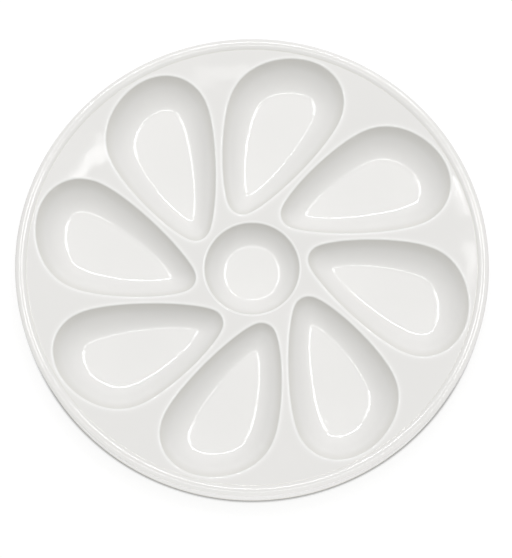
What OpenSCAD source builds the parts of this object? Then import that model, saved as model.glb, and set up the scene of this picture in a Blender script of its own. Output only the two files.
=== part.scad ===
// Oyster platter: a round glazed porcelain plate with teardrop wells turning in a pinwheel,
// a sauce well in the middle, a low rolled rim and a skirt that ends in a bare foot.
// Millimetres, +Z up, origin at the centre of the plane that the foot rests on.

/* [Plate] */
// Overall diameter, across the rim
plate_d = 300; // [270:1:360]
// Fall of the deck from its edge to its middle
dish = 4; // [1:0.5:6]
// Thickness of the deck between the wells
deck_t = 6; // [4:0.5:8]
// Thickness of the wells' floors
floor_t = 5; // [3:0.5:7]
// Height of the wells' undersides above the table
ground_gap = 2; // [1:0.5:4]

/* [Rim and skirt] */
// Width of the rim, from its outer edge to the deck
rim_w = 7.5; // [6.5:0.1:9]
// Radius of the rim's low crown
crown_r = 7; // [5:0.1:9]
// Distance of the crown's crest from the outer edge
crest_in = 3.4; // [2.6:0.1:4]
// Radius of the outer edge
edge_r = 1.3; // [0.8:0.1:2]
// Radius of the cove between the crown and the deck
cove_r = 2.4; // [1.5:0.1:4]
// Lean of the skirt towards the middle, in degrees
skirt_lean = 8; // [0:0.5:10]
// Thickness of the skirt
skirt_t = 5; // [4:0.5:6.5]
// Height of the gusset where the skirt meets the deck
gusset_h = 3; // [1:0.5:6]

/* [Foot] */
// Height of the bare foot
foot_h = 1.6; // [1:0.1:3]
// Bevel on the edges of the foot
foot_bevel = 0.6; // [0.2:0.1:0.9]

/* [Oyster wells] */
// Number of wells
wells = 8; // [6:1:9]
// Bearing of the first well, in degrees
first_bearing = 36.5; // [0:0.5:45]
// Depth of the wells, from the edge of the deck
well_depth = 14.5; // [11:0.5:18]
// Land between the heel of a well and the edge of the deck
edge_land = 3; // [2:0.1:6]
// Radius of a well's tip
tip_r = 10.2; // [8:0.1:14]
// Land between a tip and the sauce well
tip_land = 4; // [2.5:0.1:8]
// Turn of the tip ahead of the shoulder, in degrees
tip_turn = 16; // [6:0.5:20]
// Turn of the heel behind the shoulder, in degrees
heel_turn = 8.5; // [3:0.5:11]
// Space between the heels of two wells
heel_gap = 37; // [30:0.5:48]
// Space between the shoulders of two wells
shoulder_gap = 17; // [14:0.5:28]
// How far a shoulder stays back from the reach of the heel
shoulder_back = 4.2; // [2:0.1:8]
// Length over which tip, heel and shoulder blend into one outline
blend = 5.3; // [2:0.1:6.5]
// Run of the wall at the heel and the shoulder, from lip to floor
end_run = 18.6; // [14:0.1:22]
// Radius of the tip of a well's floor
floor_tip_r = 1.5; // [1:0.1:4]
// How far the tip of the floor lies ahead of the lip's tip, along the well
tip_slope = 9.4; // [4:0.1:12]
// How far the floor's heel and shoulder lie back, along the well
end_slope = 1.6; // [0:0.1:4]

/* [Sauce well] */
// Diameter of the sauce well at its lip
sauce_d = 62; // [50:1:72]
// Depth of the sauce well, from its own lip
sauce_depth = 11.5; // [8:0.5:13]
// Run of the sauce well's wall, from lip to floor
sauce_run = 13.5; // [9:0.5:18]

/* [Lips] */
// Radius of the round lip of every well
lip_r = 1.5; // [0.8:0.1:2.5]
// Flat land that each well keeps outside its lip
lip_land = 0.4; // [0.3:0.1:0.6]

/* [Hidden] */
$fn = 180;
well_names = [for (i = [1:wells]) str("oyster_well_", i)];
porcelain = [0.93, 0.93, 0.92];
biscuit = [0.86, 0.84, 0.80];

// Heights and radii of the plate
plate_r = plate_d / 2;
floor_z = ground_gap + floor_t;
deck_z = floor_z + well_depth;
deck_r = plate_r - rim_w;
sauce_r = sauce_d / 2;
function dish_z(r) = deck_z - dish * (1 - pow(r / deck_r, 2));

// Section of the rim: arcs for the cove, the crown and the outer edge, each tangent to the next,
// from the slope of the dished deck to the skirt
deck_slope = atan(2 * dish / deck_r);
cove_c = [deck_r, deck_z] + cove_r * [-sin(deck_slope), cos(deck_slope)];
crest_r = plate_r - crest_in;
cove_turn = asin((crest_r - cove_c[0]) / (crown_r + cove_r));
crown_c = cove_c + (crown_r + cove_r) * [sin(cove_turn), -cos(cove_turn)];
plate_h = crown_c[1] + crown_r;
edge_turn = asin((crest_in - edge_r) / (crown_r - edge_r));
edge_c = crown_c + (crown_r - edge_r) * [sin(edge_turn), cos(edge_turn)];
skirt_top = edge_c + edge_r * [cos(skirt_lean), -sin(skirt_lean)];
under_deck_z = deck_z - deck_t;
function skirt_out(z) = skirt_top[0] - (skirt_top[1] - z) * tan(skirt_lean);
function skirt_in(z) = skirt_out(z) - skirt_t / cos(skirt_lean);
function arc(c, r, from, to, steps) = [
    for (i = [0:steps])
        let (a = from + (to - from) * i / steps)
        c + r * [cos(a), sin(a)]
];

// Outline of a well: the tip, heel and shoulder circles, as [x, y, radius], blended into one
// closed curve. The shoulder lies on the well's bearing.
function polar(rho, a) = [rho * cos(a), rho * sin(a)];
half_pitch = sin(180 / wells);
well_reach = deck_r - edge_land;
shoulder_reach = well_reach - shoulder_back;
heel_r = (well_reach * half_pitch - heel_gap / 2) / (1 + half_pitch);
shoulder_r = (shoulder_reach * half_pitch - shoulder_gap / 2) / (1 + half_pitch);
tip_c = polar(sauce_r + tip_land + tip_r, tip_turn);
heel_c = polar(well_reach - heel_r, -heel_turn);
shoulder_c = [shoulder_reach - shoulder_r, 0];
function lip_circles(inset) = [
    [tip_c[0], tip_c[1], tip_r - inset],
    [heel_c[0], heel_c[1], heel_r - inset],
    [shoulder_c[0], shoulder_c[1], shoulder_r - inset]
];
end_to_tip = tip_c - (heel_c + shoulder_c) / 2;
along = end_to_tip / norm(end_to_tip);
floor_tip = tip_c - tip_slope * along;
floor_heel = heel_c + end_slope * along;
floor_shoulder = shoulder_c + end_slope * along;
function floor_circles(grow) = [
    [floor_tip[0], floor_tip[1], floor_tip_r + grow],
    [floor_heel[0], floor_heel[1], heel_r - end_run + grow],
    [floor_shoulder[0], floor_shoulder[1], shoulder_r - end_run + grow]
];

// Point of the blended outline whose outward normal has bearing a
function outline_point(c, a) =
    let (
        out = [cos(a), sin(a)],
        side = [-sin(a), cos(a)],
        reach = [for (k = c) k[0] * out[0] + k[1] * out[1] + k[2]],
        most = max(reach),
        weight = [for (h = reach) exp((h - most) / blend)],
        total = weight * [for (k = c) 1],
        slide = weight * [for (k = c) k[0] * side[0] + k[1] * side[1]] / total
    )
    (most + blend * ln(total)) * out + slide * side;

// Wall profile: a round lip that turns to lip_turn, then a hollow that meets the floor at a low slope.
// hollow_run and hollow_drop go from 0 at the lip to 1 at the floor.
lip_turn = 60;
hollow_start = 45;
hollow_end = 80;
function hollow_run(a) = (cos(hollow_start) - cos(a)) / (cos(hollow_start) - cos(hollow_end));
function hollow_drop(a) = (sin(a) - sin(hollow_start)) / (sin(hollow_end) - sin(hollow_start));
function lip_inset(a) = lip_r * sin(a);
function lip_drop(a) = lip_r * (1 - cos(a));
lip_steps = [0, 30, lip_turn];
hollow_steps = [54, 63, 72, hollow_end];
under_steps = [hollow_end, 69, 57, hollow_start];

// Rings of a well, each one closed loop of points around the outline
outline_steps = 64;
bearings = [for (i = [0:outline_steps - 1]) i * 360 / outline_steps];
function lip_z(a) = dish_z(norm(outline_point(lip_circles(-lip_land), a)));
function ring(c, drop, share, base_z) = [
    for (a = bearings)
        let (p = outline_point(c, a), top = lip_z(a) - drop)
        [p[0], p[1], top - share * (top - base_z)]
];
function lip_ring(a) = ring(lip_circles(lip_inset(a)), lip_drop(a), 0, floor_z);
function hollow_ring(a) = ring(
    (1 - hollow_run(a)) * lip_circles(lip_inset(lip_turn)) + hollow_run(a) * floor_circles(0),
    lip_drop(lip_turn), hollow_drop(a), floor_z
);
function under_ring(a) = ring(
    (1 - hollow_run(a)) * lip_circles(-lip_land) + hollow_run(a) * floor_circles(floor_t / 2),
    deck_t, hollow_drop(a), ground_gap
);
seam = [for (a = bearings) outline_point(lip_circles(-lip_land), a)];
well_rings = concat(
    [for (a = under_steps) under_ring(a)],
    [ring(lip_circles(-lip_land), 0, 0, floor_z)],
    [for (a = lip_steps) lip_ring(a)],
    [for (a = hollow_steps) hollow_ring(a)]
);

// Solid between stacked rings, closed by a flat face on the first and the last
module stacked(rings) {
    n = len(rings[0]);
    last = len(rings) - 1;
    sides = [
        for (k = [0:last - 1], i = [0:n - 1])
            let (j = (i + 1) % n)
            each [
                [k * n + i, (k + 1) * n + i, (k + 1) * n + j],
                [k * n + i, (k + 1) * n + j, k * n + j]
            ]
    ];
    first_cap = [for (i = [0:n - 1]) i];
    last_cap = [for (i = [n - 1:-1:0]) last * n + i];
    polyhedron([for (r = rings) each r], concat([first_cap], sides, [last_cap]));
}

// Turns its children to the bearing of well i
module at_well(i) {
    rotate([0, 0, first_bearing + (i - 1) * 360 / wells])
        children();
}

// Rolled rim and skirt, all round the plate
module rim_skirt() {
    edge_steps = 10;
    crown_steps = 10;
    cove_steps = 5;
    color(porcelain)
        rotate_extrude()
            polygon(concat(
                [
                    [deck_r, under_deck_z],
                    [skirt_in(under_deck_z - gusset_h), under_deck_z - gusset_h],
                    [skirt_in(foot_h), foot_h],
                    [skirt_out(foot_h), foot_h]
                ],
                arc(edge_c, edge_r, -skirt_lean, 90 - edge_turn, edge_steps),
                arc(crown_c, crown_r, 90 - edge_turn, 90 + cove_turn, crown_steps),
                arc(cove_c, cove_r, cove_turn - 90, deck_slope - 90, cove_steps)
            ));
}

// Bare, unglazed ring that the plate stands on
module foot_ring() {
    inner = skirt_in(foot_h);
    outer = skirt_out(foot_h);
    color(biscuit)
        rotate_extrude()
            polygon([
                [inner, foot_h], [inner, foot_bevel], [inner + foot_bevel, 0],
                [outer - foot_bevel, 0], [outer, foot_bevel], [outer, foot_h]
            ]);
}

// Dished deck with an opening for every well
module deck() {
    sauce_edge = sauce_r + lip_land;
    deck_steps = 10;
    radii = [for (i = [0:deck_steps]) sauce_edge + (deck_r - sauce_edge) * i / deck_steps];
    color(porcelain)
        difference() {
            rotate_extrude()
                polygon(concat(
                    [for (r = radii) [r, dish_z(r)]],
                    [for (i = [deck_steps:-1:0]) [radii[i], dish_z(radii[i]) - deck_t]]
                ));
            for (i = [1:wells])
                at_well(i)
                    linear_extrude(plate_h)
                        polygon(seam);
        }
}

// Round bowl in the middle
module sauce_well() {
    top = dish_z(sauce_r);
    edge = sauce_r + lip_land;
    wall = sauce_run - lip_inset(lip_turn);
    wall_r = sauce_r - lip_inset(lip_turn);
    wall_z = top - lip_drop(lip_turn);
    wall_drop = sauce_depth - lip_drop(lip_turn);
    under_top = dish_z(edge) - deck_t;
    under_run = sauce_run - floor_t / 2;
    under_drop = under_top - ground_gap;
    turn_step = 5;
    hollow = [
        for (a = [hollow_end:-turn_step:hollow_start + turn_step])
            [wall_r - wall * hollow_run(a), wall_z - wall_drop * hollow_drop(a)]
    ];
    lip = [for (a = [lip_turn:-turn_step:0]) [sauce_r - lip_inset(a), top - lip_drop(a)]];
    underside = [
        for (a = [hollow_start:turn_step:hollow_end])
            [edge - under_run * hollow_run(a), under_top - under_drop * hollow_drop(a)]
    ];
    color(porcelain)
        rotate_extrude()
            polygon(concat(
                [[0, top - sauce_depth]], hollow, lip,
                [[edge, dish_z(edge)]], underside, [[0, ground_gap]]
            ));
}

// One teardrop bowl
module oyster_well(i) {
    color(porcelain)
        at_well(i)
            stacked(well_rings);
}

rim_skirt();
foot_ring();
deck();
sauce_well();
for (i = [1:wells])
    oyster_well(i);
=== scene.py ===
"""Looks of the oyster platter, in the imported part's own frame. Its pieces are drawn in millimetres."""
from math import acos, asin, atan2, cos, exp, hypot, log, pi, radians, sin, tan, tau

import bmesh
import bpy
from mathutils import Matrix, Vector


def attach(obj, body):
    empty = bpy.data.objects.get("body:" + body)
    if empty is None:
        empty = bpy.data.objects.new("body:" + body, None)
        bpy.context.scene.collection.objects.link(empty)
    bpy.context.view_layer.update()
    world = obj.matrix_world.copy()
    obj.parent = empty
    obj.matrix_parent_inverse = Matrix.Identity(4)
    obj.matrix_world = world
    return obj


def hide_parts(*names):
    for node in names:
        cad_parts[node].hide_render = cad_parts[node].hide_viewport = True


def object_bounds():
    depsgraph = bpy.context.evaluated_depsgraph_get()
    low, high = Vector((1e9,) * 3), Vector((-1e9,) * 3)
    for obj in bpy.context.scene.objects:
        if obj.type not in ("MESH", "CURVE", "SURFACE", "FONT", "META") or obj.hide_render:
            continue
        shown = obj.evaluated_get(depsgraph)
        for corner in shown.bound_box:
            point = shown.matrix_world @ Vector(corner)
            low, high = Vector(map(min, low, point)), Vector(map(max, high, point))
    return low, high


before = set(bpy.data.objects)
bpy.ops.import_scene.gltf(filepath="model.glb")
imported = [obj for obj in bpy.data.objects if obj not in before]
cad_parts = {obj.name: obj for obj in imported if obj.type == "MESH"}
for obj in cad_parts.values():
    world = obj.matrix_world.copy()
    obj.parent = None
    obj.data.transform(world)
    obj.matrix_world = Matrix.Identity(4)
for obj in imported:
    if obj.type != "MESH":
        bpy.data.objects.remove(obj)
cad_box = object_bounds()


# Deck: the dished land of porcelain between the wells, one thickness of clay, formed in the same mould as
# the wells and fired with them. Its edges follow the lips, where the glaze runs on without a break.
wells = 8
pitch = tau / wells
first_bearing = radians(36.5)
deck_radius = 142.5
deck_height = 21.5
deck_thickness = 6
dish_fall = 4
lip_land = 0.4
sauce_radius = 31
sauce_edge = sauce_radius + lip_land

# A well's teardrop blends three circles. The shoulder's lies on the well's bearing, the tip's is turned ahead
# of it and the heel's behind it. The gaps lie between the circles of neighbouring wells.
blend = 5.3
edge_land = 3
heel_gap = 37
heel_turn = radians(-8.5)
shoulder_gap = 17
shoulder_back = 4.2
tip_radius = 10.2
tip_land = 4
tip_turn = radians(16)
half_pitch = sin(pitch / 2)
well_reach = deck_radius - edge_land
shoulder_reach = well_reach - shoulder_back
heel_radius = (well_reach * half_pitch - heel_gap / 2) / (1 + half_pitch)
shoulder_radius = (shoulder_reach * half_pitch - shoulder_gap / 2) / (1 + half_pitch)


def polar(radius, bearing):
    """Flat vector with a length and a bearing."""
    return Vector((radius * cos(bearing), radius * sin(bearing)))


tip_centre = polar(sauce_radius + tip_land + tip_radius, tip_turn)
heel_centre = polar(well_reach - heel_radius, heel_turn)
shoulder_centre = polar(shoulder_reach - shoulder_radius, 0)


def lip_circles(inset):
    """The three circles of a well's lip, each (x, y, radius), drawn in by an inset."""
    return [
        (*tip_centre, tip_radius - inset),
        (*heel_centre, heel_radius - inset),
        (*shoulder_centre, shoulder_radius - inset),
    ]


def outline_point(circles, bearing):
    """Point of the blended outline whose outward normal has this bearing."""
    out = Vector((cos(bearing), sin(bearing)))
    side = Vector((-out.y, out.x))
    reach = [x * out.x + y * out.y + r for x, y, r in circles]
    most = max(reach)
    share = [exp((h - most) / blend) for h in reach]
    slide = sum(s * (x * side.x + y * side.y) for s, (x, y, r) in zip(share, circles)) / sum(share)
    return (most + blend * log(sum(share))) * out + slide * side


def dish_height(x, y):
    """Height of the dished deck over a point of the plan."""
    return deck_height - dish_fall * (1 - (x * x + y * y) / deck_radius**2)


def evenly(points, steps):
    """Points at equal lengths along a line of points."""
    lengths = [0]
    for a, b in zip(points, points[1:]):
        lengths.append(lengths[-1] + (b - a).length)
    found, k = [], 0
    for i in range(steps + 1):
        goal = lengths[-1] * i / steps
        while k < len(points) - 2 and lengths[k + 1] < goal:
            k += 1
        found.append(points[k].lerp(points[k + 1], (goal - lengths[k]) / (lengths[k + 1] - lengths[k])))
    return found


# The deck's edge round a well is its seam. A ridge lies halfway between two seams at every radius, and past
# their ends halfway between the ends.
side_steps, rim_steps, sauce_steps = 72, 64, 24
seam_samples = 1440
ridge_samples = 400
seam_circles = lip_circles(-lip_land)
seam_line = [outline_point(seam_circles, tau * i / seam_samples) for i in range(seam_samples)]
ridge = []
for i in range(ridge_samples + 1):
    radius = sauce_edge + (deck_radius - sauce_edge) * i / ridge_samples
    crossed = []
    for a, b in zip(seam_line, seam_line[1:] + seam_line[:1]):
        if (a.length - radius) * (b.length - radius) <= 0 and a.length != b.length:
            p = a.lerp(b, (radius - a.length) / (b.length - a.length))
            crossed.append(atan2(p.y, p.x))
    if not crossed:
        end = min(seam_line, key=lambda p: abs(p.length - radius))
        crossed = [atan2(end.y, end.x)]
    middle = (min(crossed) + max(crossed) + pitch) / 2
    ridge.append(polar(radius, middle))
ridge = evenly(ridge, side_steps)
ridge_root = atan2(ridge[0].y, ridge[0].x)
ridge_end = atan2(ridge[-1].y, ridge[-1].x)

# The outer edge of one well's land runs along the rim, in along a ridge, back along the sauce well and out
# along the ridge behind.
back_turn = Matrix.Rotation(-pitch, 2)
cell = [polar(deck_radius, ridge_end - pitch + pitch * i / rim_steps) for i in range(rim_steps)]
cell += ridge[:0:-1]
cell += [polar(sauce_edge, ridge_root - pitch * i / sauce_steps) for i in range(sauce_steps)]
cell += [back_turn @ p for p in ridge[:-1]]
around = len(cell)

# Each point of that edge faces one point of the seam, along the seam's own normal, which halving finds.
halvings = 40
middle_of_well = (tip_centre + heel_centre + shoulder_centre) / 3
bearings = []
for p in cell:
    towards = atan2(p.y - middle_of_well.y, p.x - middle_of_well.x)
    low, high = towards - pi / 2, towards + pi / 2
    for i in range(halvings):
        a = (low + high) / 2
        q = outline_point(seam_circles, a)
        if (p - q).dot(Vector((-sin(a), cos(a)))) > 0:
            low = a
        else:
            high = a
    bearings.append(low)


def round_net(rings):
    """A net of quads with a ring of vertices at each whole radius, for a piece to be drawn out from."""
    bm = bmesh.new()
    spoke = [bm.verts.new((k + 1, 0, 0)) for k in range(rings)]
    edges = [bm.edges.new(pair) for pair in zip(spoke, spoke[1:])]
    bmesh.ops.spin(
        bm, geom=spoke + edges, cent=(0, 0, 0), axis=(0, 0, 1), angle=tau, steps=around, use_merge=True
    )
    return bm


def ring_and_step(v):
    """Which ring of a round net a vertex lies on, and which step of that ring."""
    return round(hypot(v.co.x, v.co.y)) - 1, round(atan2(v.co.y, v.co.x) / tau * around) % around


# Each vertex carries a tone: above 0 its colour is paler than on the open deck, and below 0 darker.
# Over the lips it is a painted highlight, fading out across the land, so the land's rings crowd towards the
# seam.
land_rings = 10
crowding = 2
seam_highlight = 0.4
highlight_fade = 0.8
weld = 0.001
bm = round_net(land_rings)
painted_light_layer = bm.verts.layers.float.new("painted_light_tone")
for v in bm.verts:
    k, j = ring_and_step(v)
    seam = outline_point(seam_circles, bearings[j])
    p = seam.lerp(cell[j], (k / (land_rings - 1)) ** crowding)
    v.co = (p.x, p.y, dish_height(p.x, p.y))
    v[painted_light_layer] = seam_highlight * exp(-(p - seam).length / highlight_fade)
bmesh.ops.rotate(bm, cent=(0, 0, 0), matrix=Matrix.Rotation(first_bearing, 3, "Z"), verts=bm.verts)
bmesh.ops.spin(
    bm, geom=bm.verts[:] + bm.edges[:] + bm.faces[:], cent=(0, 0, 0), axis=(0, 0, 1),
    angle=pitch * (wells - 1), steps=wells - 1, use_duplicate=True,
)
bmesh.ops.remove_doubles(bm, verts=bm.verts, dist=weld)
made = bmesh.ops.extrude_face_region(bm, geom=bm.faces[:], use_keep_orig=True)["geom"]
underside = [g for g in made if isinstance(g, bmesh.types.BMVert)]
bmesh.ops.translate(bm, vec=(0, 0, -deck_thickness), verts=underside)


class Wire:
    """One output of a shader node. Arithmetic on it adds Math nodes, and node() adds any other node."""

    def __init__(self, tree, socket=None):
        self.tree = tree
        self.socket = socket

    def node(self, kind, settings, inputs, output=0):
        made = self.tree.nodes.new("ShaderNode" + kind)
        for name, value in settings.items():
            setattr(made, name, value)
        for name, value in inputs.items():
            if isinstance(value, Wire):
                self.tree.links.new(value.socket, made.inputs[name])
            else:
                made.inputs[name].default_value = value
        if made.outputs:
            return Wire(self.tree, made.outputs[output])

    def math(self, operation, *values):
        return self.node("Math", {"operation": operation}, dict(enumerate(values)))

    def __add__(self, other):
        return self.math("ADD", self, other)

    def __sub__(self, other):
        return self.math("SUBTRACT", self, other)

    def __rsub__(self, other):
        return self.math("SUBTRACT", other, self)

    def __mul__(self, other):
        return self.math("MULTIPLY", self, other)

    __radd__ = __add__
    __rmul__ = __mul__


def wired(look):
    """Clears the nodes of a material or a sky, and gives a wire to make new ones with."""
    look.use_nodes = True
    look.node_tree.nodes.clear()
    return Wire(look.node_tree)


def mixed(share, low, high):
    """A colour between two. A Mix node takes its colours in sockets 6 and 7, and its output 2 is a colour."""
    return share.node("Mix", {"data_type": "RGBA"}, {0: share, 6: low, 7: high}, 2)


# White, glossy glaze, faintly clouded. Its slow waves are stronger down in the wells, where it pooled. The
# rim, which begins at a distance from the middle of the foot's plane, is rubbed a little duller.
millimetre = 0.001
cloud_white = (0.826, 0.821, 0.811, 1)
clear_white = (0.856, 0.848, 0.838, 1)
# Over the lips the pale white is a painted highlight, and the deep white below it is painted shade.
pale_highlight_white = (0.98, 0.98, 0.975, 1)
painted_shade_white = (0.68, 0.67, 0.61, 1)
pool_top = 16 * millimetre
pool_bottom = 10 * millimetre
pool_gain = 14
wave_height = 0.02 * millimetre
rim_margin = 1
rim_start = (deck_radius + rim_margin) * millimetre
glaze_roughness = 0.018
cloud_roughness = 0.015
rim_roughness = 0.07
glaze = bpy.data.materials.new("white_glaze")
w = wired(glaze)
place = w.node("TexCoord", {}, {}, "Object")
cloud = w.node("TexNoise", {}, {"Vector": place, "Scale": 22, "Detail": 2, "Roughness": 0.5})
sway = w.node("TexNoise", {}, {"Vector": place, "Scale": 55, "Detail": 1, "Roughness": 0.4})
place_z = w.node("SeparateXYZ", {}, {"Vector": place}, "Z")
reach = w.node("VectorMath", {"operation": "LENGTH"}, {0: place}, "Value")
# The tone paints a highlight over the lips, and shade at their feet and in the rim's cove.
painted_light_tone = w.node("Attribute", {"attribute_name": "painted_light_tone"}, {}, "Fac")
white = mixed(cloud, cloud_white, clear_white)
white = mixed(painted_light_tone, white, pale_highlight_white)
white = mixed(painted_light_tone * -1, white, painted_shade_white)
on_rim = w.math("GREATER_THAN", reach, rim_start)
deep = w.node("MapRange", {}, {"Value": place_z, "From Min": pool_top, "From Max": pool_bottom})
pooled = deep * (1 - on_rim)
swell = (sway - 0.5) * (1 + pooled * pool_gain)
waves = w.node("Bump", {}, {"Strength": 1, "Distance": wave_height, "Height": swell})
roughness = cloud * cloud_roughness + glaze_roughness + on_rim * rim_roughness
shader = w.node(
    "BsdfPrincipled", {}, {"Base Color": white, "Roughness": roughness, "IOR": 1.5, "Normal": waves}
)
w.node("OutputMaterial", {}, {"Surface": shader})

sharp_angle = radians(40)


def placed(bm, name, material):
    """Makes a mesh an object of the scene, in one material."""
    mesh = bpy.data.meshes.new(name)
    bm.to_mesh(mesh)
    bm.free()
    mesh.materials.append(material)
    item = bpy.data.objects.new(name, mesh)
    bpy.context.scene.collection.objects.link(item)
    return item


def set_piece(bm, name, node, material):
    """Makes a mesh in millimetres a piece of the part, in the place of a CAD node."""
    bmesh.ops.recalc_face_normals(bm, faces=bm.faces)
    bmesh.ops.scale(bm, vec=(millimetre, millimetre, millimetre), verts=bm.verts)
    for face in bm.faces:
        face.smooth = True
    piece = placed(bm, name, material)
    piece.data.set_sharp_from_angle(angle=sharp_angle)
    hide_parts(node)
    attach(piece, "root")


set_piece(bm, "dished_deck", "deck", glaze)


# Oyster wells: eight teardrop bowls, each deep enough for one half shell with its liquor. They are formed
# with the deck, with a round lip, a hollow wall and a flat floor, and the glaze covers them inside and out.
floor_height = 7
floor_thickness = 5
ground_gap = 2
lip_radius = 1.5
lip_turn = radians(60)
hollow_start = radians(45)
hollow_end = radians(80)
floor_fillet = 0.05
end_run = 18.6
end_slope = 1.6
tip_slope = 9.4
floor_tip_radius = 1.5
along = (tip_centre - (heel_centre + shoulder_centre) / 2).normalized()


def floor_circles(grow):
    """The three circles of a well's floor, grown by a width."""
    return [
        (*(tip_centre - tip_slope * along), floor_tip_radius + grow),
        (*(heel_centre + end_slope * along), heel_radius - end_run + grow),
        (*(shoulder_centre + end_slope * along), shoulder_radius - end_run + grow),
    ]


def between(a, b, share):
    """Circles that lie between two sets of circles."""
    return [tuple(p + (q - p) * share for p, q in zip(c, d)) for c, d in zip(a, b)]


def hollow_drop(run):
    """Share of a wall's drop at a share of its run: an arc that is cut short where it meets the floor."""
    across = cos(hollow_start) + (cos(hollow_end) - cos(hollow_start)) * run
    return (sin(acos(across)) - sin(hollow_start)) / (sin(hollow_end) - sin(hollow_start))


def filleted(drop):
    """A wall's drop, turned into the floor by a small fillet."""
    above = 1 - drop
    if abs(above) < floor_fillet:
        above = (above + floor_fillet) ** 2 / (4 * floor_fillet)
    return 1 - max(above, 0)


# A painted highlight makes the crest of a lip palest, and painted shade makes the lip's foot darkest. The
# shade ends after a part of the wall's run, and towards the floor the colour grows a little paler.
crest_highlight = 0.6
lip_foot_shade = -0.35
shaded_part = 0.3
floor_tone = 0.18
floor_fade = 4


def lip_highlight_and_shade(a):
    """Painted highlight and shade over a lip that has turned by an angle."""
    return crest_highlight + (lip_foot_shade - crest_highlight) * (a / lip_turn) ** 2


def wall_shade_and_tone(run):
    """Painted shade and paler colour at a share of a wall's run."""
    return floor_tone * min(run, 1) ** floor_fade + lip_foot_shade * max(1 - run / shaded_part, 0)


# Shares of a wall's run: even down the wall, and close together where the fillet turns into the floor.
wall_steps = 22
fillet_steps = 24
fillet_start = 0.82
fillet_end = 1.15
wall_runs = [fillet_start * i / wall_steps for i in range(1, wall_steps)]
for i in range(fillet_steps + 1):
    wall_runs.append(fillet_start + (fillet_end - fillet_start) * i / fillet_steps)

# Rings of a well, from the middle of its underside up over the lip and down to its floor. Each has its own
# circles, the circles over which its top is measured, its fall from there, its share of the way from there to
# a base, that base, and its tone, which paints highlight and shade on the glaze.
under_steps = 12
lip_steps = 8
lip_foot_inset = lip_radius * sin(lip_turn)
lip_foot_fall = lip_radius * (1 - cos(lip_turn))
lip_foot_circles = lip_circles(lip_foot_inset)
under_circles = floor_circles(floor_thickness / 2)
rings = []
for i in range(under_steps + 1):
    run = 1 - i / under_steps
    circles = between(seam_circles, under_circles, run)
    rings.append((circles, seam_circles, deck_thickness, hollow_drop(run), ground_gap, 0))
rings.append((seam_circles, seam_circles, 0, 0, floor_height, seam_highlight))
for i in range(lip_steps + 1):
    a = lip_turn * i / lip_steps
    circles = lip_circles(lip_radius * sin(a))
    rings.append((circles, circles, lip_radius * (1 - cos(a)), 0, floor_height, lip_highlight_and_shade(a)))
for run in wall_runs:
    circles = between(lip_foot_circles, floor_circles(0), run)
    drop = filleted(hollow_drop(run))
    rings.append((circles, seam_circles, lip_foot_fall, drop, floor_height, wall_shade_and_tone(run)))

bowl = round_net(len(rings))
painted_light_layer = bowl.verts.layers.float.new("painted_light_tone")
for v in bowl.verts:
    k, j = ring_and_step(v)
    circles, top_circles, fall, share, base, ring_light_and_tone = rings[k]
    p = outline_point(circles, bearings[j])
    q = outline_point(top_circles, bearings[j])
    top = dish_height(q.x, q.y) - fall
    v.co = (p.x, p.y, top + share * (base - top))
    v[painted_light_layer] = ring_light_and_tone
bmesh.ops.holes_fill(bowl, edges=[e for e in bowl.edges if e.is_boundary])
for i in range(wells):
    bm = bowl.copy()
    turn = Matrix.Rotation(first_bearing + pitch * i, 3, "Z")
    bmesh.ops.rotate(bm, cent=(0, 0, 0), matrix=turn, verts=bm.verts)
    set_piece(bm, f"oyster_bowl_{i + 1}", f"oyster_well_{i + 1}", glaze)
bowl.free()


# Sauce well: the round bowl in the middle for mignonette or lemon, formed with the deck. Its lip and hollow
# are turned to the same curves as the oyster wells, so it is spun from one profile.
sauce_depth = 11.5
sauce_run = 13.5
sauce_top = dish_height(sauce_radius, 0)
sauce_floor = sauce_top - sauce_depth
edge_top = dish_height(sauce_edge, 0)
wall_radius = sauce_radius - lip_foot_inset
wall_top = sauce_top - lip_foot_fall
wall_run = sauce_run - lip_foot_inset
under_top = edge_top - deck_thickness
under_run = sauce_run - floor_thickness / 2
profile = [(0, sauce_floor, wall_shade_and_tone(1))]
for run in wall_runs[::-1] + [0]:
    height = wall_top + (sauce_floor - wall_top) * filleted(hollow_drop(run))
    profile.append((wall_radius - wall_run * run, height, wall_shade_and_tone(run)))
for i in range(1, lip_steps + 1):
    a = lip_turn * (1 - i / lip_steps)
    height = sauce_top - lip_radius * (1 - cos(a))
    profile.append((sauce_radius - lip_radius * sin(a), height, lip_highlight_and_shade(a)))
profile.append((sauce_edge, edge_top, seam_highlight))
for i in range(under_steps + 1):
    run = i / under_steps
    height = under_top + (ground_gap - under_top) * hollow_drop(run)
    profile.append((sauce_edge - under_run * run, height, 0))
profile.append((0, ground_gap, 0))


def spun(profile, start, steps):
    """A profile of (radius, height, tone) points, spun about the plate's axis from a bearing."""
    bm = bmesh.new()
    painted_light_layer = bm.verts.layers.float.new("painted_light_tone")
    line = []
    for radius, height, painted_light_tone in profile:
        v = bm.verts.new((*polar(radius, start), height))
        v[painted_light_layer] = painted_light_tone
        line.append(v)
    edges = [bm.edges.new(pair) for pair in zip(line, line[1:])]
    bmesh.ops.spin(
        bm, geom=line + edges, cent=(0, 0, 0), axis=(0, 0, 1), angle=tau, steps=steps, use_merge=True
    )
    bmesh.ops.remove_doubles(bm, verts=bm.verts, dist=weld)
    return bm


bm = spun(profile, first_bearing + ridge_root, sauce_steps * wells)
set_piece(bm, "sauce_bowl", "sauce_well", glaze)


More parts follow.
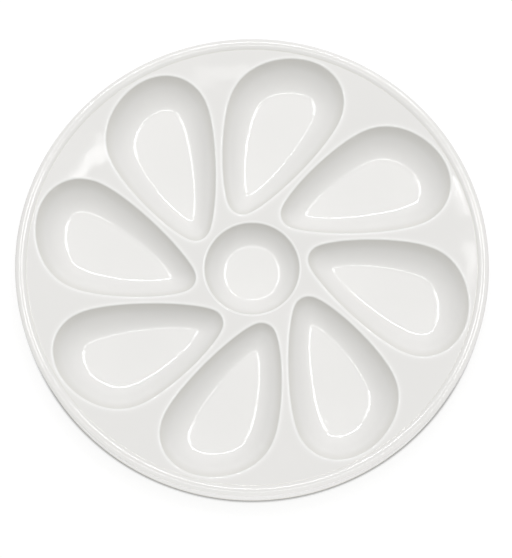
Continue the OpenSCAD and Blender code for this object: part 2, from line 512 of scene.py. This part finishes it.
# Rim and skirt: a low rolled rim all round, a cove that joins it to the deck, and a skirt that leans in a
# little on its way down to the foot. It is formed with the deck, and glazed down to the bare foot.
plate_radius = 150
crest_inset = 3.4
crown_radius = 7
edge_radius = 1.3
cove_radius = 2.4
skirt_lean = radians(8)
skirt_thickness = 5
gusset_height = 3
foot_height = 1.6
# The cove is painted darker: painted shade in the crease between the rim and the deck.
cove_shade = -0.45
edge_steps, crown_steps, cove_steps = 16, 24, 12
under_deck = deck_height - deck_thickness
deck_slope = atan2(2 * dish_fall, deck_radius)
cove_centre = Vector((deck_radius, deck_height)) + cove_radius * Vector((-sin(deck_slope), cos(deck_slope)))
cove_turn = asin((plate_radius - crest_inset - cove_centre.x) / (crown_radius + cove_radius))
crown_centre = cove_centre + (crown_radius + cove_radius) * Vector((sin(cove_turn), -cos(cove_turn)))
edge_turn = asin((crest_inset - edge_radius) / (crown_radius - edge_radius))
edge_centre = crown_centre + (crown_radius - edge_radius) * Vector((sin(edge_turn), cos(edge_turn)))
skirt_top = edge_centre + edge_radius * Vector((cos(skirt_lean), -sin(skirt_lean)))


def skirt_outside(height):
    """Radius of the skirt's outer face at a height."""
    return skirt_top.x - (skirt_top.y - height) * tan(skirt_lean)


def skirt_inside(height):
    """Radius of the skirt's inner face at a height."""
    return skirt_outside(height) - skirt_thickness / cos(skirt_lean)


def arc(centre, radius, start, end, steps, middle_shade=0):
    """Points of an arc, as (radius, height, tone), without its first one. Its painted shade is deepest
    halfway.
    """
    points = []
    for i in range(1, steps + 1):
        a = start + (end - start) * i / steps
        points.append((*(centre + polar(radius, a)), middle_shade * sin(pi * i / steps)))
    return points


profile = [
    (deck_radius, under_deck, 0),
    (skirt_inside(under_deck - gusset_height), under_deck - gusset_height, 0),
    (skirt_inside(foot_height), foot_height, 0),
    (skirt_outside(foot_height), foot_height, 0),
    (*skirt_top, 0),
]
profile += arc(edge_centre, edge_radius, -skirt_lean, pi / 2 - edge_turn, edge_steps)
profile += arc(crown_centre, crown_radius, pi / 2 - edge_turn, pi / 2 + cove_turn, crown_steps)
profile += arc(cove_centre, cove_radius, cove_turn - pi / 2, deck_slope - pi / 2, cove_steps, cove_shade)
profile.append(profile[0])
bm = spun(profile, first_bearing + ridge_end, rim_steps * wells)
set_piece(bm, "rolled_rim", "rim_skirt", glaze)


# Foot: the end of the skirt, wiped clean of glaze so that it doesn't stick to the kiln shelf. It is bare,
# fired porcelain, dry and faintly sandy, with its edges rubbed off.
foot_bevel = 0.6
foot_inner = skirt_inside(foot_height)
foot_outer = skirt_outside(foot_height)
profile = [
    (foot_inner, foot_height, 0), (foot_inner, foot_bevel, 0), (foot_inner + foot_bevel, 0, 0),
    (foot_outer - foot_bevel, 0, 0), (foot_outer, foot_bevel, 0), (foot_outer, foot_height, 0),
    (foot_inner, foot_height, 0),
]
bm = spun(profile, first_bearing + ridge_end, rim_steps * wells)

stained_body = (0.70, 0.67, 0.61, 1)
clean_body = (0.80, 0.78, 0.73, 1)
dry_roughness = 0.8
sand_roughness = 0.15
grit_height = 0.06 * millimetre
biscuit = bpy.data.materials.new("bare_biscuit")
w = wired(biscuit)
place = w.node("TexCoord", {}, {}, "Object")
stain = w.node("TexNoise", {}, {"Vector": place, "Scale": 90, "Detail": 3, "Roughness": 0.6})
sand = w.node("TexNoise", {}, {"Vector": place, "Scale": 2200, "Detail": 2, "Roughness": 0.6})
body = mixed(stain, stained_body, clean_body)
grit = w.node("Bump", {}, {"Strength": 0.6, "Distance": grit_height, "Height": sand})
roughness = dry_roughness + sand * sand_roughness
shader = w.node("BsdfPrincipled", {}, {"Base Color": body, "Roughness": roughness, "Normal": grit})
w.node("OutputMaterial", {}, {"Surface": shader})
set_piece(bm, "bare_foot", "foot_ring", biscuit)


# Floor: a plain pale sheet under the plate. The camera sees it near white, with the plate's shadow on it and
# a painted contact shadow along the foot. The plate gets a dimmer glow from it, by bounced rays alone.
floor_reach = 15
sheet_grey = (0.25, 0.25, 0.25, 1)
seen_glow = 0.8
unseen_glow = 0.65
contact_reach = 1.8 * millimetre
sheet = bpy.data.materials.new("pale_sheet")
sheet.cycles.emission_sampling = "NONE"
w = wired(sheet)
seen = w.node("LightPath", {}, {}, "Is Camera Ray")
# Painted contact shadow: the glow that the camera sees dims where ambient occlusion finds the plate close.
painted_shadow_openness = w.node("AmbientOcclusion", {"samples": 8}, {"Distance": contact_reach}, "AO")
glow = (1 - seen) * unseen_glow + seen * painted_shadow_openness * painted_shadow_openness * seen_glow
shader = w.node(
    "BsdfPrincipled", {},
    {"Base Color": sheet_grey, "Roughness": 0.9, "Specular IOR Level": 0.0,
     "Emission Color": glow, "Emission Strength": 1},
)
w.node("OutputMaterial", {}, {"Surface": shader})
bm = bmesh.new()
bmesh.ops.create_grid(bm, x_segments=1, y_segments=1, size=floor_reach)
floor = placed(bm, "floor", sheet)


# Light: a soft sky that is brighter behind the plate and in front of it, and soft boxes round the direction
# in which a level glaze mirrors the room. Strips draw the line round each floor and along the rim, windows
# widen it at the ends of the wells, and small panes glint on the deck.
sky_level = 0.15
back_tint = (1, 0.995, 1.015, 1)
back_side = Vector((0.25, 0.45, 0.86))
back_gain = 0.28
front_tint = (1, 1, 0.93, 1)
front_side = Vector((0.1, -0.77, 0.63))
front_gain = 0.2
world = bpy.data.worlds.new("sky")
bpy.context.scene.world = world
w = wired(world)
way = w.node("TexCoord", {}, {}, "Generated")


def glowing(tint, side, gain):
    """A tinted sky that grows brighter towards one side."""
    facing = w.node("VectorMath", {"operation": "DOT_PRODUCT"}, {0: way, 1: side.normalized()}, "Value")
    lifted = w.math("MAXIMUM", facing, 0)
    return w.node("Background", {}, {"Color": tint, "Strength": lifted * lifted * gain + sky_level})


back_sky = glowing(back_tint, back_side, back_gain)
front_sky = glowing(front_tint, front_side, front_gain)
sky = w.node("AddShader", {}, {0: back_sky, 1: front_sky})
w.node("OutputWorld", {}, {"Surface": sky})

view_tilt = radians(15)
mirror_way = Vector((0, sin(view_tilt), cos(view_tilt)))


def soft_box(name, off, turn, distance, width, length, radiance):
    """A soft box at an angle off the mirror direction, on the side that turn gives, both in degrees."""
    axis = Vector((-sin(radians(turn)), cos(radians(turn)), 0))
    way = Matrix.Rotation(radians(off), 3, axis) @ mirror_way
    light = bpy.data.lights.new(name, "AREA")
    light.shape = "RECTANGLE"
    light.size = width
    light.size_y = length
    light.energy = radiance * pi * width * length
    lamp = bpy.data.objects.new(name, light)
    length_way = (axis - way * axis.dot(way)).normalized()
    turned = Matrix((length_way.cross(way), length_way, way)).transposed()
    lamp.matrix_world = Matrix.Translation(way * distance) @ turned.to_4x4()
    lamp.visible_camera = False
    bpy.context.scene.collection.objects.link(lamp)
    return lamp


# Strips, windows and panes have their angles, then their sizes in metres and their radiance. The dished deck
# shows a pane on the side away from it, and a pane is named for the place where it shows.
studio_reach = 4
strip_width = 0.25
window_off, window_width, window_length = 14, 0.85, 0.4
for name, off, turn, length, radiance in (
    ("back_strip", 18, 90, 2.4, 20),
    ("left_strip", 15, 180, 2.1, 6),
    ("right_strip", 15, 0, 2.1, 6),
    ("front_strip", 15, -90, 1.6, 7),
):
    soft_box(name, off, turn, studio_reach, strip_width, length, radiance)
for name, turn, radiance in (
    ("left_near_window", 194, 4.2),
    ("left_far_window", 166, 4.2),
    ("right_far_window", 14, 5.2),
    ("right_near_window", -14, 5.2),
):
    soft_box(name, window_off, turn, studio_reach, window_width, window_length, radiance)
for name, off, turn, width, length, radiance in (
    ("right_upper_pane", 3.6, 201, 0.012, 0.05, 8),
    ("right_lower_pane", 3.53, 182, 0.012, 0.05, 4.5),
    ("left_lower_pane", 3.17, -31, 0.02, 0.03, 5),
    ("left_upper_pane", 3.17, -39, 0.02, 0.03, 5),
    ("top_pane", 3.36, -83, 0.02, 0.06, 1.8),
):
    soft_box(name, off, turn, studio_reach, width, length, radiance)

# A low card close in front lights the skirt. It is turned from the mirror direction over the camera's side
# and down to just above the floor, and the glaze doesn't mirror it.
card_off, card_turn = -103.9, 90
card_reach = 0.8
card_width, card_length = 0.028, 2
card_radiance = 18
card = soft_box("front_card", card_off, card_turn, card_reach, card_width, card_length, card_radiance)
card.visible_glossy = False


# Camera: at the tilt of the photograph, far away with a long lens. The photograph gives its own size, the
# width of the plate and the place of the plate's axis at the height of the rim, all in pixels. The sensor's
# width spans the longer side of the photograph.
photo_width, photo_height = 512, 558
plate_pixels = 474
axis_column, axis_row = 252.0, 266.55
camera_distance = 12
pixel = 2 * plate_radius * millimetre / plate_pixels
right = Vector((1, 0, 0))
up = Vector((0, cos(view_tilt), sin(view_tilt)))
back = Vector((0, -sin(view_tilt), cos(view_tilt)))
across = (photo_width / 2 - axis_column) * pixel
down = (photo_height / 2 - axis_row) * pixel
aim = Vector((0, 0, cad_box[1][2])) + right * across - up * down
camera = bpy.data.cameras.new("camera")
camera.sensor_width = 36
camera.lens = camera.sensor_width * camera_distance / (photo_height * pixel)
camera.clip_end = 100
eye = bpy.data.objects.new("camera", camera)
eye.location = aim + back * camera_distance
eye.rotation_mode = "QUATERNION"
eye.rotation_quaternion = (-back).to_track_quat("-Z", "Y")
bpy.context.scene.collection.objects.link(eye)
bpy.context.scene.camera = eye
bpy.context.scene.view_settings.view_transform = "Standard"
